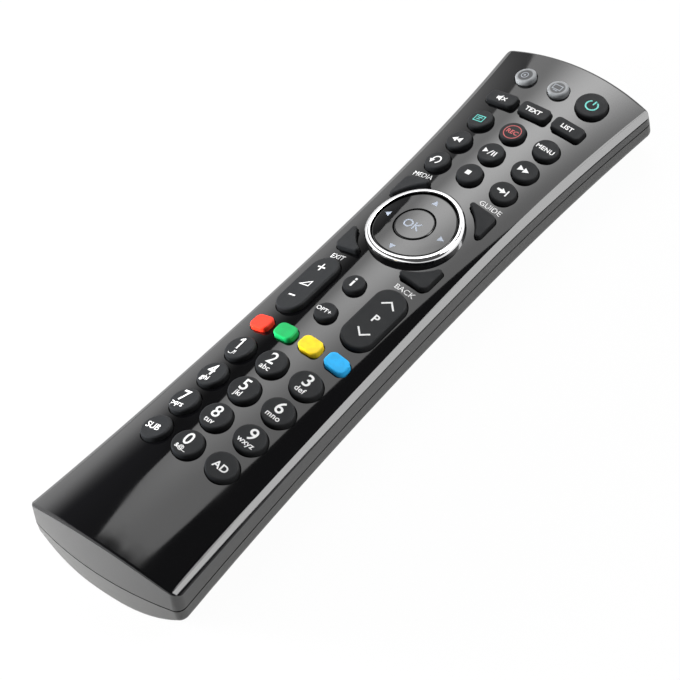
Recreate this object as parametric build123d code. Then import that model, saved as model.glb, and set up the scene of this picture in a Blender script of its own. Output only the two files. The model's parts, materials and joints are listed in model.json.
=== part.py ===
"""Television remote control with rubber keys, a rocking direction pad and two cells.

Millimetres. The table is the XY plane: the remote lies on its flat belly at Z = 0, its
middle over the origin, +Y towards the end that is pointed at the television, +X to the
right of someone who holds it, +Z up.
The keys stand on a deck that slopes down towards +Y. Deck coordinates put Z = 0 on the
crest of the key tops and are turned onto the table by the location named deck.
"""
import os
from math import asin, degrees, hypot, pi, sqrt

from build123d import *

# Outline seen from above
length = 229.2
head_width = 57.4
waist_width = 48.4
foot_width = 59.6
waist_y = 31.0
head_bulge = 3.5
foot_bulge = 3.5
corner_radius = 3.0

# How the two ends lean in above the parting, per mm of height, and the lofted height
head_lean = 0.04
foot_lean = 0.163
foot_flatten = 0.07
loft_low = -3.0
loft_high = 18.0

# Height, deck and crown
deck_height = 23.4
deck_slope = 1.7
parting_height = 11.3
belly_flat = 12.0
belly_foot_radius = 48.0
belly_waist_radius = 30.0
belly_head_radius = 42.0
belly_edge = 2.4
belly_reach = 0.9
crown_foot_radius = 66.0
crown_waist_radius = 55.0
crown_head_radius = 135.0
crown_waist_y = -8.9
rim_round = 1.0
strip_width = 1.95
strip_drop = 1.6
strip_bulge = 0.18
strip_stations = (-65.0, -15.0, waist_y, 75.0)
strip_over_crest = 8.0
section_margin = 5.0

# Shell walls and the joint between the shells
wall = 1.6
seam_gap = 0.24
lip_height = 1.2
lip_clearance = 0.12

# Key stack, as depths under the deck plane
key_proud = 1.65
key_gap = 0.35
key_play = 0.3
key_travel = 0.8
flange_out = 0.65
key_floor = -7.8
pressed_clearance = 0.2
membrane_thickness = 0.6
board_thickness = 1.0
membrane_inset = 2.9
board_inset = 2.4

# Keys
column_pitch = 13.0
number_radius = 4.9
number_top_y = -35.4
number_pitch = 12.14
media_radius = 4.15
media_top_y = 78.2
media_pitch = 10.7
power_radius = 5.15
mode_radius = 3.45
mode_row_y = 101.4
bar_row_y = 89.3
bar_width = 10.8
bar_height = 5.3
bar_corner = 1.6
colour_row_y = -23.7
colour_pitch = 9.85
colour_width = 7.2
colour_height = 5.5
colour_corner = 2.0
small_radius = 3.5
info_y = 1.8
options_y = -11.35
rocker_y = -4.8
rocker_length = 24.6
rocker_width = 10.4
rocker_ear = 8.0
rocker_ear_play = 0.5
rocker_ear_corner = 1.0
key_edge = 0.65
bar_edge = 0.5
rubber_soft_edge = 0.7

# Direction pad
pad_y = 30.25
pad_radius = 13.2
pad_gap = 0.4
pad_proud = 2.05
pad_edge = 0.6
pad_floor = -6.7
pad_tilt_play = 0.85
pad_skirt = 1.1
ok_radius = 6.4
ok_pocket_depth = 2.9
ok_flange_height = 1.0
ok_stem_radius = 5.0
trim_width = 1.9
trim_proud = 2.5
trim_edge = 0.85
carrier_inner_radius = 8.2
carrier_outer_radius = 10.0
carrier_thickness = 0.6
carrier_drop = 0.7
corner_key_side = 17.8
corner_key_hollow = 18.2
corner_key_tip = 1.0
corner_key_round = 2.2

# Cells and their bay
cell_radius = 5.25
cell_length = 44.5
cell_nub_radius = 1.9
cell_nub_length = 1.2
cell_spacing = 11.2
cell_axis_height = 7.9
bay_foot_y = -101.1
bay_wall = 1.2
bay_side_gap = 0.75
bay_roof = 0.5
bay_roof_gap = 0.1
spring_room = 5.2
spring_base_radius = 3.6
spring_tip_radius = 2.4
contact_thickness = 0.4
contact_size = 8.0
contact_gap = 0.2
bump_height = 0.9
cell_edge = 0.5

# Battery cover
cover_width = 28.0
cover_foot_y = -104.9
cover_head_y = -46.4
cover_recess = 0.2
cover_thickness = 1.9
cover_gap = 0.35
cover_corner = 2.5
cover_seat_gap = 0.25
cover_bevel = 1.2
swing_relief_length = 1.5
swing_relief_depth = 0.5
ledge_width = 1.7
ledge_thickness = 1.0
hook_x = 7.0
hook_width = 4.0
hook_reach = 1.6
hook_thickness = 1.0
hook_rise = 0.35
hook_foot = 1.4
hook_slot_height = 3.2
thumb_width = 13.0
thumb_height = 9.0
thumb_depth = 0.55
thumb_inset = 9.5
ridge_length = 7.0
ridge_width = 0.8
latch_width = 10.0
latch_length = 7.0
latch_slot = 0.7

# Screws and board posts
screw_x = 6.5
screw_radius = 1.1
screw_clearance = 0.05
post_clearance = 0.15
screw_head_radius = 2.2
screw_head_height = 1.4
screw_bite = 6.5
screw_tip_room = 0.5
cross_length = 2.4
cross_width = 0.6
cross_depth = 0.6
recess_radius = 2.6
recess_depth = 8.4
post_radius = 3.6
post_top = 10.4
boss_radius = 2.2
board_hole_gap = 0.4
prop_radius = 1.5
prop_x = 18.0
prop_ys = (46.0, -29.0)

# Electronics
led_radius = 1.5
led_length = 4.0
led_lift = 1.2
leg_width = 0.5
leg_spacing = 1.3
leg_run = 0.9
led_notch_width = 6.0
led_y = 107.9
window_width = 18.0
window_height = 2.8
window_lift = 0.4
window_gap = 0.1
chip_size = (10.0, 7.0, 1.6)
chip_y = 29.1
capacitor_radius = 2.5
capacitor_height = 6.0
capacitor_x = -9.0
capacitor_y = 9.1
resonator_size = (6.0, 2.5, 3.5)
resonator_x = 9.0
resonator_y = 51.1
mode_led_radius = 1.0
mode_led_height = 0.5

# Worked out from the sizes above
deck = Pos(0, 0, deck_height) * Rot(-deck_slope, 0, 0)
head_y = length / 2
foot_y = -length / 2
membrane_top = key_floor - key_travel - pressed_clearance
board_top = membrane_top - membrane_thickness
board_floor = board_top - board_thickness
media_rows = [media_top_y - row * media_pitch for row in range(3)]
number_rows = [number_top_y - row * number_pitch for row in range(4)]
screw_rows = [(media_rows[0] + media_rows[1]) / 2, (number_rows[0] + number_rows[1]) / 2]
bay_length = spring_room + cell_length + contact_gap + contact_thickness + bump_height
bay_head_y = bay_foot_y + bay_length
bay_half = cell_spacing / 2 + cell_radius + bay_side_gap
cell_top = cell_axis_height + cell_radius
tall = 60.0
columns = (-column_pitch, 0.0, column_pitch)


def side_radius(width, y_end):
    """Radius of the side's arc from the waist, where it runs along Y, to one end."""
    out = (width - waist_width) / 2
    return (out * out + (y_end - waist_y) ** 2) / (2 * out)


def side_x(y):
    """Half width of the outline at y: two arcs that meet at the waist."""
    if y > waist_y:
        radius = side_radius(head_width, head_y - head_bulge)
    else:
        radius = side_radius(foot_width, foot_y + foot_bulge)
    return waist_width / 2 + radius - sqrt(radius * radius - (y - waist_y) ** 2)


def crown_radius(y):
    """Radius of the crown at y, its curvature a parabola through three stations."""
    stations = ((foot_y, crown_foot_radius), (crown_waist_y, crown_waist_radius),
                (head_y, crown_head_radius))
    bend = 0
    for ya, ra in stations:
        share = 1 / ra
        for yb, _ in stations:
            if yb != ya:
                share *= (y - yb) / (ya - yb)
        bend += share
    return 1 / bend


def crown_drop(x, y):
    """How far the crown falls from its crest to x."""
    radius = crown_radius(y)
    return radius - sqrt(radius * radius - x * x)


def right_side(inset, y_foot, y_head):
    """The edges of the outline's right side, from foot to head."""
    def arc(y1, y2):
        return ThreePointArc(*((side_x(y) - inset, y) for y in (y1, (y1 + y2) / 2, y2)))

    return [arc(y_foot, waist_y), arc(waist_y, y_head)]


def closed(right, y_foot, y_head):
    """The face between a right side, its mirror image and two bulging ends."""
    first, last = right[0] @ 0, right[-1] @ 1
    ends = [ThreePointArc(last, (0, y_head), (-last.X, last.Y)),
            ThreePointArc((-first.X, first.Y), (0, y_foot), first)]
    return make_face(Curve() + right + ends + [edge.mirror(Plane.YZ) for edge in right])


def outline(inset, rise=0.0):
    """The outline from above, drawn in by inset, at a height above the parting."""
    y_head = head_y - inset - rise * head_lean
    y_foot = foot_y + inset + rise * foot_lean
    right = right_side(inset, y_foot + foot_bulge - rise * foot_flatten, y_head - head_bulge)
    face = closed(right, y_foot, y_head)
    return fillet(face.vertices().sort_by(lambda v: abs(v.Y))[-4:], max(corner_radius - inset / 2, 0.8))


def under_crown(inset):
    """Everything under the crown surface, lowered by inset."""
    sections = []
    for y in (foot_y - section_margin, crown_waist_y, head_y + section_margin):
        reach = side_x(y) + section_margin
        radius = crown_radius(y) - inset
        fall = radius - sqrt(radius * radius - reach * reach)
        base = -key_proud - inset
        section = make_face(Curve() + [
            ThreePointArc((-reach, base - fall), (0, base), (reach, base - fall)),
            Polyline((reach, base - fall), (reach, -tall), (-reach, -tall), (-reach, base - fall)),
        ])
        sections.append((deck * Pos(0, y, 0) * Rot(90, 0, 0) * section).faces()[0])
    return loft(sections)


def inside_strips(inset):
    """Everything between the two bevelled strips along the upper side edges."""
    sections = []
    for y in (foot_y - section_margin, *strip_stations, head_y + section_margin):
        x_side = side_x(y) - inset
        x_in = x_side - strip_width
        z_in = -key_proud - inset - crown_drop(x_in, y)
        z_side = z_in - strip_drop
        slant = hypot(strip_width, strip_drop)
        x_mid = (x_in + x_side) / 2 + strip_bulge * strip_drop / slant
        z_mid = (z_in + z_side) / 2 + strip_bulge * strip_width / slant
        x_up, z_up = x_in - strip_over_crest * strip_width, z_in + strip_over_crest * strip_drop
        x_out, z_out = x_side + section_margin, z_side - section_margin
        right = [
            Line((x_up, z_up), (x_in, z_in)),
            ThreePointArc((x_in, z_in), (x_mid, z_mid), (x_side, z_side)),
            Polyline((x_side, z_side), (x_out, z_out), (x_out, -tall), (-x_out, -tall)),
        ]
        left = [
            Polyline((-x_out, -tall), (-x_out, z_out), (-x_side, z_side)),
            ThreePointArc((-x_side, z_side), (-x_mid, z_mid), (-x_in, z_in)),
            Polyline((-x_in, z_in), (-x_up, z_up), (x_up, z_up)),
        ]
        section = make_face(Curve() + right + left)
        sections.append((deck * Pos(0, y, 0) * Rot(90, 0, 0) * section).faces()[0])
    return loft(sections)


def upper_body(inset):
    """The closed form above the parting: upright sides, leaning ends and the crown."""
    block = loft([Pos(0, 0, parting_height + rise) * outline(inset, rise)
                  for rise in (loft_low, loft_high)])
    block = block & under_crown(inset)
    if inset == 0:
        top = max(block.faces(), key=lambda face: face.center().Z)
        block = fillet(top.edges(), rim_round)
    return block & inside_strips(inset)


def over_belly(inset):
    """Everything over the belly: flat in its middle, curving up to both sides."""
    sections = []
    flat = belly_flat / 2
    stations = ((foot_y - section_margin, belly_foot_radius), (waist_y, belly_waist_radius),
                (head_y + section_margin, belly_head_radius))
    for y, radius in stations:
        radius -= inset
        reach = min(side_x(y) + section_margin - flat, radius * belly_reach)
        half = reach / 2
        points = [(flat + out, inset + radius - sqrt(radius * radius - out * out))
                  for out in (0, half, reach)]
        (x_in, z_in), middle, (x_out, z_out) = points
        section = make_face(Curve() + [
            Line((-x_in, z_in), (x_in, z_in)),
            ThreePointArc(*points),
            Polyline((x_out, z_out), (x_out, tall), (-x_out, tall), (-x_out, z_out)),
            ThreePointArc((-x_out, z_out), (-middle[0], middle[1]), (-x_in, z_in)),
        ])
        sections.append((Pos(0, y, 0) * Rot(90, 0, 0) * section).faces()[0])
    return loft(sections)


def lower_body(inset):
    """The closed form under the parting, with its long edge rounded all the way round."""
    block = extrude(outline(inset), amount=parting_height + 1) & over_belly(inset)
    belly = [face for face in block.faces() if face.normal_at().Z < -0.5]
    edges = [edge for face in belly for edge in face.edges()]
    outer_edges = [edge for edge in edges if sum(edge.is_same(other) for other in edges) == 1]
    return fillet(outer_edges, belly_edge - inset)


def slab(low, high):
    """A block wider than the remote between two heights."""
    return Pos(0, 0, low) * Box(2 * foot_width, 2 * length, high - low,
                                align=(Align.CENTER, Align.CENTER, Align.MIN))


def below(x, y, z, lean=0.0):
    """Everything under a plane through a deck point that leans with the crown."""
    return Pos(x, y, z) * Rot(0, lean, 0) * Box(
        tall, tall, tall, align=(Align.CENTER, Align.CENTER, Align.MAX))


def prism(face, x, y, low, high):
    """An upright prism in deck coordinates."""
    return Pos(x, y, low) * extrude(face, amount=high - low)


def rod(radius, x, y, low, high):
    return prism(Circle(radius), x, y, low, high)


# Key outlines: each takes how far the outline is grown, for its hole and its flange
def round_pad(radius):
    return lambda grow: Circle(radius + grow)


def block_pad(width, height, corner):
    return lambda grow: RectangleRounded(width + 2 * grow, height + 2 * grow, corner + grow)


def rocker_pad(grow):
    return Rot(0, 0, 90) * SlotOverall(rocker_length + 2 * grow, rocker_width + 2 * grow)


def corner_pad(sign_x, sign_y):
    """A key in the corner beside the direction pad: square outside, hollow towards the pad."""
    def face(grow):
        side, hollow = corner_key_side + grow, corner_key_hollow - grow
        tip, turn = corner_key_tip + grow, corner_key_round + grow
        c = sqrt((hollow + tip) ** 2 - (side - tip) ** 2)
        to_tip = hollow / (hollow + tip)
        near = (c * to_tip, (side - tip) * to_tip)
        reach = hypot(c - near[0], side - near[1])
        mid_x, mid_y = (near[0] + c) / 2 - c, (near[1] + side) / 2 - (side - tip)
        scale = tip / hypot(mid_x, mid_y)
        bend = (c + mid_x * scale, side - tip + mid_y * scale)
        knee = side - turn + turn * sqrt(0.5)
        half = hollow * sqrt(0.5)
        path = [
            (near, bend, (c, side)),
            ((c, side), (side - turn, side)),
            ((side - turn, side), (knee, knee), (side, side - turn)),
            ((side, side - turn), (side, c)),
            ((side, c), bend[::-1], near[::-1]),
            (near[::-1], (half, half), near),
        ]
        edges = []
        for points in path:
            points = [(sign_x * px, sign_y * py) for px, py in points]
            edges.append(Line(*points) if len(points) == 2 else ThreePointArc(*points))
        return make_face(Curve() + edges)
    return face


def key(pad, x, y, edge, ear=None, play=key_play, lean_x=None):
    """One key: a cap that follows the crown, on a flange that stays under the shell."""
    lean_at = x if lean_x is None else lean_x
    lean = degrees(asin(lean_at / crown_radius(y)))
    top = -crown_drop(lean_at, y)
    cap = prism(pad(0), x, y, key_floor, tall / 4) & below(lean_at, y, top, lean)
    cap = fillet(cap.faces().sort_by(Axis.Z)[-1].edges(), edge)
    foot = pad(flange_out) if ear is None else ear
    half = foot.bounding_box().size.X / 2
    sink = key_proud + wall + play + half * half / (2 * crown_radius(y))
    sunk = top - sink / sqrt(1 - (lean_at / crown_radius(y)) ** 2)
    flange = prism(foot, x, y, key_floor, 0) & below(lean_at, y, sunk, lean)
    return deck * (cap + flange)


# name: (outline, x, y, rounded edge, x where the top touches the crown)
keys = {
    "key_source_a": (round_pad(mode_radius), -column_pitch, mode_row_y, key_edge, None),
    "key_source_b": (round_pad(mode_radius), 0.0, mode_row_y, key_edge, None),
    "key_power": (round_pad(power_radius), column_pitch, mode_row_y, key_edge, None),
}
for name, x in zip(("mute", "text", "list"), columns):
    keys["key_" + name] = (block_pad(bar_width, bar_height, bar_corner), x, bar_row_y, bar_edge, None)
media_names = (("portal", "record", "menu"), ("rewind", "play_pause", "fast_forward"),
               ("replay", "stop", "skip"))
for row, y in zip(media_names, media_rows):
    for name, x in zip(row, columns):
        keys["key_" + name] = (round_pad(media_radius), x, y, key_edge, None)
corner_middle = (corner_key_side + corner_key_hollow * sqrt(0.5)) / 2
for name, sx, sy in (("media", -1, 1), ("guide", 1, 1), ("exit", -1, -1), ("back", 1, -1)):
    keys["key_" + name] = (corner_pad(sx, sy), 0.0, pad_y, bar_edge, sx * corner_middle)
keys["key_info"] = (round_pad(small_radius), 0.0, info_y, key_edge, None)
keys["key_options"] = (round_pad(small_radius), 0.0, options_y, key_edge, None)
for place, name in enumerate(("red", "green", "yellow", "blue")):
    keys["key_" + name] = (block_pad(colour_width, colour_height, colour_corner),
                           (place - 1.5) * colour_pitch, colour_row_y, bar_edge, None)
number_names = (("1", "2", "3"), ("4", "5", "6"), ("7", "8", "9"), ("sub", "0", "ad"))
for row, y in zip(number_names, number_rows):
    for name, x in zip(row, columns):
        keys["key_" + name] = (round_pad(number_radius), x, y, key_edge, None)
rockers = {"volume_rocker": -column_pitch, "programme_rocker": column_pitch}


def make_keys():
    parts = {}
    for name, (pad, x, y, edge, lean_x) in keys.items():
        parts[name] = key(pad, x, y, edge, lean_x=lean_x)
    ear = RectangleRounded(rocker_width + 2 * flange_out, rocker_ear, rocker_ear_corner)
    for name, x in rockers.items():
        parts[name] = key(rocker_pad, x, rocker_y, rubber_soft_edge, ear=ear, play=rocker_ear_play)
    return parts


def make_direction_pad():
    """The rocking pad, its centre key, the carrier that it rocks on and the bright ring."""
    def capped(radius, low, proud):
        return (deck * rod(radius, 0, pad_y, low, tall / 4)) & under_crown(-proud)

    def soften(solid, radius, edge):
        rim = [e for e in solid.edges() if abs(e.length - 2 * pi * radius) < 1.0]
        rim = sorted(rim, key=lambda e: e.center().Z)
        return fillet(rim[-1:], edge)

    hole = ok_radius + key_gap
    pocket_radius = ok_radius + flange_out + pad_gap
    pad = soften(capped(pad_radius, pad_floor, pad_proud), pad_radius, pad_edge)
    skirt = deck * rod(pad_radius + pad_skirt, 0, pad_y, pad_floor, 0)
    skirt = skirt & under_crown(wall + pad_tilt_play)
    pad = pad + skirt - deck * rod(hole, 0, pad_y, pad_floor - 1, tall / 4)
    pad = pad - deck * rod(pocket_radius, 0, pad_y, pad_floor - 1, -key_proud - ok_pocket_depth + pad_proud)

    ok = soften(capped(ok_radius, pad_floor, pad_proud), ok_radius, pad_edge)
    flange_top = -key_proud - ok_pocket_depth + pad_proud - key_travel / 2 - key_play
    ok = ok + deck * rod(ok_radius + flange_out, 0, pad_y, flange_top - ok_flange_height, flange_top)
    ok = ok + deck * rod(ok_stem_radius, 0, pad_y, key_floor, pad_floor)

    ring_outer = pad_radius + pad_gap + trim_width
    ring = soften(capped(ring_outer, -key_proud - trim_width * 2, trim_proud), ring_outer, trim_edge)
    ring = ring - deck * rod(pad_radius + pad_gap, 0, pad_y, -tall / 4, tall / 4)
    ring = ring - under_crown(0)

    carrier_top = pad_floor - carrier_drop
    carrier = Circle(carrier_outer_radius) - Circle(carrier_inner_radius)
    carrier = deck * prism(carrier, 0, pad_y, carrier_top - carrier_thickness, carrier_top)
    return {"direction_pad": pad, "key_ok": ok, "pad_trim_ring": ring, "pad_carrier": carrier}


def screw_places():
    return [(sx * screw_x, y) for y in screw_rows for sx in (-1, 1)]


def make_upper_shell(outer, inner):
    """The glossy top: a hollow cap over the parting plane, with a hole for every key."""
    low = parting_height + seam_gap / 2
    shell = (outer - inner) & slab(low, tall)
    rabbet = Pos(0, 0, low - 1) * extrude(outline(wall / 2), amount=1 + lip_height + lip_clearance)
    shell = shell - rabbet
    for x, y in screw_places():
        boss = rod(boss_radius, x, y, post_top, tall / 2) & inner
        shell = shell + boss - rod(screw_radius + screw_clearance, x, y, 0, post_top + screw_bite)
    for pad, x, y, _, _ in keys.values():
        shell = shell - deck * prism(pad(key_gap), x, y, key_floor, tall / 4)
    for x in rockers.values():
        shell = shell - deck * prism(rocker_pad(key_gap), x, rocker_y, key_floor, tall / 4)
    shell = shell - deck * rod(pad_radius + pad_gap, 0, pad_y, key_floor, tall / 4)
    return shell - window_block(window_gap)


def window_block(grow):
    """The space of the infrared window in the head end's wall."""
    low = parting_height + seam_gap / 2 + lip_height + lip_clearance + window_lift
    return Pos(0, head_y, low - grow) * Box(
        window_width + 2 * grow, 4 * wall + 2 * head_bulge, window_height + 2 * grow,
        align=(Align.CENTER, Align.CENTER, Align.MIN))


def cover_face(grow):
    """The cover's outline: square corners at the foot, where it swings, and round ones at the head."""
    middle = (cover_foot_y + cover_head_y) / 2
    span = cover_head_y - cover_foot_y
    face = Pos(0, middle) * Rectangle(cover_width + 2 * grow, span + 2 * grow)
    return fillet(face.vertices().sort_by(Axis.Y)[-2:], cover_corner + grow)


def make_lower_shell(outer, inner):
    """The tray: belly, lip, cell bay, cover ledge, screw posts and board props."""
    high = parting_height - seam_gap / 2
    shell = (outer - inner) & slab(-1, high)
    lip = extrude(outline(wall / 2 + lip_clearance), amount=lip_height + 2)
    lip = lip - Pos(0, 0, -1) * extrude(outline(wall), amount=lip_height + 4)
    shell = shell + Pos(0, 0, parting_height - 2) * lip
    ledge_low = cover_recess + cover_thickness + cover_seat_gap
    ledge_top = ledge_low + ledge_thickness
    bay_middle = (bay_foot_y + bay_head_y) / 2
    inside_belly = over_belly(wall / 2)
    shell = shell + (extrude(cover_face(cover_gap + ledge_width), amount=ledge_top) & inside_belly)
    roof_low = cell_top + bay_roof_gap
    bay = Pos(0, bay_middle, wall / 2) * Box(
        2 * (bay_half + bay_wall), bay_length + 2 * bay_wall, roof_low + bay_roof - wall / 2,
        align=(Align.CENTER, Align.CENTER, Align.MIN))
    shell = shell + bay
    shell = shell - Pos(0, 0, -1) * extrude(cover_face(cover_gap), amount=1 + ledge_low)
    shell = shell - Pos(0, cover_foot_y - cover_gap, ledge_low) * Box(
        cover_width + 2 * cover_gap, swing_relief_length, swing_relief_depth,
        align=(Align.CENTER, Align.MIN, Align.MIN))
    shell = shell - Pos(0, bay_middle, -1) * Box(
        2 * bay_half, bay_length, 1 + roof_low, align=(Align.CENTER, Align.CENTER, Align.MIN))
    for sx in (-1, 1):
        slot_low = cover_recess + cover_thickness
        slot_foot = cover_foot_y - hook_reach - 2 * cover_gap
        slot_head = bay_foot_y - bay_wall
        slot = Pos(sx * hook_x, (slot_foot + slot_head) / 2, slot_low) * Box(
            hook_width + 2 * cover_gap, slot_head - slot_foot, hook_slot_height,
            align=(Align.CENTER, Align.CENTER, Align.MIN))
        shell = shell - slot
    for x, y in screw_places():
        shell = shell + rod(post_radius, x, y, wall / 2, post_top)
        shell = shell - rod(recess_radius, x, y, -1, recess_depth)
        shell = shell - rod(screw_radius + post_clearance, x, y, -1, tall)
    for y in prop_ys:
        for sx in (-1, 1):
            prop = rod(prop_radius, sx * prop_x, y, 0, tall / 2) & inside_belly
            shell = shell + (prop & deck * below(sx * prop_x, y, board_floor))
    return shell


def make_battery_cover():
    """A plate with two hooks at its foot edge and a thumb latch at its head edge."""
    plate = extrude(cover_face(0), amount=cover_recess + cover_thickness) & over_belly(cover_recess)
    bevel = cover_bevel * sqrt(2)
    plate = plate - Pos(0, cover_foot_y, cover_recess) * Rot(45, 0, 0) * Box(2 * cover_width, bevel, bevel)
    for sx in (-1, 1):
        riser = Pos(sx * hook_x, cover_foot_y, cover_recess + cover_thickness) * Box(
            hook_width, hook_foot, hook_rise + hook_thickness,
            align=(Align.CENTER, Align.MIN, Align.MIN))
        hook = Pos(sx * hook_x, cover_foot_y + hook_foot, cover_recess + cover_thickness + hook_rise) * Box(
            hook_width, hook_reach + hook_foot, hook_thickness,
            align=(Align.CENTER, Align.MAX, Align.MIN))
        plate = plate + riser + hook
    thumb = Pos(0, cover_head_y - thumb_inset, 0) * extrude(
        Ellipse(thumb_width / 2, thumb_height / 2), amount=cover_recess + thumb_depth)
    plate = plate - thumb
    for step in range(3):
        ridge_y = cover_head_y - thumb_inset + (step - 1) * thumb_height / 4
        ridge = Pos(0, ridge_y, cover_recess) * Box(
            ridge_length, ridge_width, thumb_depth, align=(Align.CENTER, Align.CENTER, Align.MIN))
        plate = plate + ridge
    for sx in (-1, 1):
        slot = Pos(sx * latch_width / 2, cover_head_y, -1) * Box(
            latch_slot, latch_length * 2, tall, align=(Align.CENTER, Align.CENTER, Align.MIN))
        plate = plate - (slot - Pos(
            0, cover_head_y - thumb_inset, 0) * Cylinder(thumb_height / 2, tall))
    return plate


def make_cells():
    """Two cells head to tail, their springs, the end plate and the bridge at the head."""
    cells, springs = {}, []
    for name, sign in (("battery_left", -1), ("battery_right", 1)):
        x = sign * cell_spacing / 2
        facing = -sign
        start = bay_foot_y + spring_room if facing > 0 else bay_head_y - spring_room
        spin = Pos(x, start, cell_axis_height) * Rot(-90 * facing, 0, 0)
        shaft_length = cell_length - cell_nub_length
        shaft = Cylinder(cell_radius, shaft_length, align=(Align.CENTER, Align.CENTER, Align.MIN))
        shaft = fillet(shaft.edges().filter_by(GeomType.CIRCLE), cell_edge)
        nub = Pos(0, 0, shaft_length) * Cylinder(
            cell_nub_radius, cell_nub_length, align=(Align.CENTER, Align.CENTER, Align.MIN))
        cells[name] = spin * (shaft + nub)
        room = spring_room - contact_thickness
        cone = Pos(0, 0, -room) * Cone(spring_base_radius, spring_tip_radius, room,
                                       align=(Align.CENTER, Align.CENTER, Align.MIN))
        springs.append(spin * cone)

    def plate(x_low, x_high, y, outward):
        return Pos((x_low + x_high) / 2, y, cell_axis_height) * Box(
            x_high - x_low, contact_thickness, contact_size,
            align=(Align.CENTER, Align.MAX if outward > 0 else Align.MIN, Align.CENTER))

    def bump(x, y, outward, room):
        spin = Pos(x, y, cell_axis_height) * Rot(90 * outward, 0, 0)
        return spin * Cylinder(cell_nub_radius, room, align=(Align.CENTER, Align.CENTER, Align.MIN))

    reach = bay_length - spring_room - cell_length - contact_gap
    half, size = cell_spacing / 2, contact_size / 2
    bridge = plate(-half - size, half + size, bay_head_y, 1) + bump(-half, bay_head_y, 1, reach)
    foot_plate = plate(half - size, half + size, bay_foot_y, -1) + bump(half, bay_foot_y, -1, reach)
    foot_pad = plate(-half - size, -half + size, bay_foot_y, -1)
    return dict(cells, contact_springs=Compound(children=springs), contact_bridge=bridge,
                contact_plates=Compound(children=[foot_plate, foot_pad]))


def make_electronics(outer, inner):
    """The keypad sheet, the board and what is soldered to it, and the infrared window."""
    sheet = prism(outline(wall + membrane_inset), 0, 0, board_top, membrane_top)
    board = prism(outline(wall + board_inset), 0, 0, board_floor, board_top)
    hole = boss_radius + board_hole_gap
    for x, y in screw_places():
        sheet = sheet - rod(hole, x, y, -tall / 2, 0)
        board = board - rod(hole, x, y, -tall / 2, 0)
    notch = Pos(0, led_y - 2 * leg_run, board_top) * Box(
        led_notch_width, tall, 4 * membrane_thickness, align=(Align.CENTER, Align.MIN, Align.CENTER))
    sheet = sheet - notch
    mode_leds = []
    for x in (-column_pitch, 0.0):
        mode_leds.append(deck * rod(mode_led_radius, x, mode_row_y, board_top,
                                    board_top + mode_led_height))
        sheet = sheet - rod(mode_led_radius + key_gap, x, mode_row_y, -tall / 2, 0)
    led_height = board_top + led_lift + led_radius
    led = Pos(0, led_y, led_height) * Rot(-90, 0, 0) * Cylinder(
        led_radius, led_length - led_radius, align=(Align.CENTER, Align.CENTER, Align.MIN))
    led = led + Pos(0, led_y + led_length - led_radius, led_height) * Sphere(led_radius)
    for sx in (-1, 1):
        x = sx * leg_spacing / 2
        run = Pos(x, led_y - leg_run, led_height) * Box(
            leg_width, leg_run + led_radius, leg_width, align=(Align.CENTER, Align.MIN, Align.CENTER))
        drop = Pos(x, led_y - leg_run, board_top) * Box(
            leg_width, leg_width, led_height - board_top, align=(Align.CENTER, Align.MIN, Align.MIN))
        led = led + run + drop
    chip = Pos(0, chip_y, board_floor) * Box(*chip_size, align=(Align.CENTER, Align.CENTER, Align.MAX))
    can = rod(capacitor_radius, capacitor_x, capacitor_y, board_floor - capacitor_height, board_floor)
    resonator = Pos(resonator_x, resonator_y, board_floor) * Box(
        *resonator_size, align=(Align.CENTER, Align.CENTER, Align.MAX))
    window = (outer - inner) & window_block(0)
    return {"keypad_membrane": deck * sheet, "circuit_board": deck * board, "ir_led": deck * led,
            "controller_chip": deck * chip, "capacitor": deck * can, "resonator": deck * resonator,
            "mode_leds": Compound(children=mode_leds), "ir_window": window}


def make_screws():
    screws = []
    for x, y in screw_places():
        shank_top = post_top + screw_bite - screw_tip_room
        shank = rod(screw_radius, x, y, recess_depth, shank_top)
        head = rod(screw_head_radius, x, y, recess_depth - screw_head_height, recess_depth)
        cross = Box(cross_length, cross_width, 2 * cross_depth)
        cross = cross + Box(cross_width, cross_length, 2 * cross_depth)
        head = head - Pos(x, y, recess_depth - screw_head_height) * cross
        screws.append(shank + head)
    return Compound(children=screws)


upper_outer, upper_inner = upper_body(0), upper_body(wall)
parts = make_keys()
parts.update(make_direction_pad())
parts["upper_shell"] = make_upper_shell(upper_outer, upper_inner)
parts["lower_shell"] = make_lower_shell(lower_body(0), lower_body(wall))
parts["battery_cover"] = make_battery_cover()
parts.update(make_cells())
parts.update(make_electronics(upper_outer, upper_inner))
parts["housing_screws"] = make_screws()

os.makedirs("parts", exist_ok=True)
for name, shape in parts.items():
    export_step(shape, f"parts/{name}.step")
print(len(parts), "parts")
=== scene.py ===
"""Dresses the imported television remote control: plastics, rubber keys, legends, cells and studio.

Everything is in metres, in the part's own frame: the remote lies along Y on the table Z = 0,
its infrared window towards +Y.
"""
import json
from functools import reduce
from math import cos, pi, radians, sin
from operator import add

import bmesh
import bpy
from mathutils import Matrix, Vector
from mathutils.bvhtree import BVHTree


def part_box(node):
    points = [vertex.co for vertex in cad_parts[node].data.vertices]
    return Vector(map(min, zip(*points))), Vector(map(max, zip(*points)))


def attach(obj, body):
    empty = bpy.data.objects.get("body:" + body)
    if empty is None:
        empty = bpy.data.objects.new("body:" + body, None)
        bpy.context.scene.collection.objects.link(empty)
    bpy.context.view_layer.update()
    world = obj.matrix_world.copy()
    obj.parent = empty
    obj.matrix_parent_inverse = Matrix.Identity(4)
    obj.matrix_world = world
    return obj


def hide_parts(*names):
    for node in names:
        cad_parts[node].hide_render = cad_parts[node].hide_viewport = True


bl_info = {
    "name": "Television remote control",
    "version": (1, 0, 0),
    "blender": (4, 5, 0),
    "location": "3D View > Sidebar > Remote",
    "description": "Finishes, printed legends, wound springs and a studio for a packed remote control",
    "category": "Object",
}

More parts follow.
